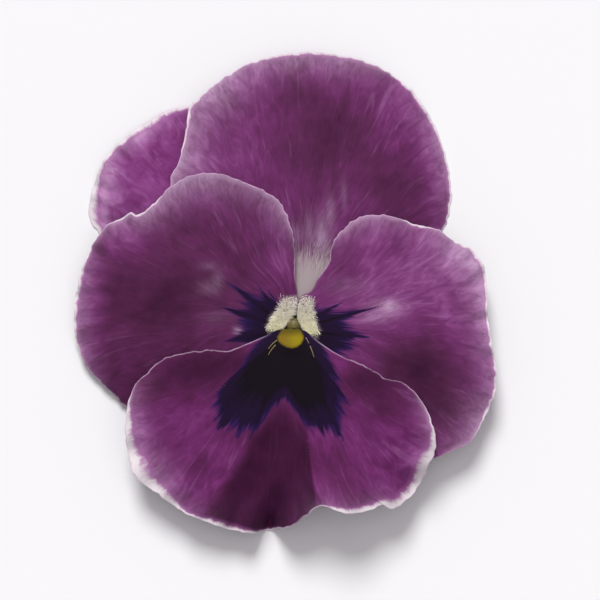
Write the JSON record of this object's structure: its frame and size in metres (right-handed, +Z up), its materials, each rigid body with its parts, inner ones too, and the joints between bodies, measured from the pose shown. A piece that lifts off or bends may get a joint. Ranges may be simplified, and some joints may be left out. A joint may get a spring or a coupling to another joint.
{
  "type": "pansy blossom",
  "caption": "Single picked pansy blossom lying face up, with overlapping waved petals, bearded throat, nectar spur, green sepals and a short bent stalk.",
  "frame": {"origin": "on the surface that the bloom lies on, below the middle of its bounding box", "axes": "+Z up out of the bloom's face, +Y towards the two upper petals, +X to the right as the face is seen"},
  "size_m": [0.0638, 0.0726, 0.0104],
  "materials": {
    "petal": "matte",
    "sepal": "satin",
    "anther": "matte",
    "pistil": "satin",
    "stalk": "satin"
  },
  "bodies": {
    "root": {"petal_upper_left": "petal", "petal_upper_right": "petal", "petal_lateral_left": "petal", "petal_lateral_right": "petal", "petal_lower": "petal", "sepal_top": "sepal", "sepal_upper_left": "sepal", "sepal_upper_right": "sepal", "sepal_lower_left": "sepal", "sepal_lower_right": "sepal", "stamen_1": "anther", "stamen_2": "anther", "stamen_3": "anther", "stamen_4": "anther", "stamen_5": "anther", "pistil": "pistil", "stalk": "stalk"}
  },
  "joints": []
}
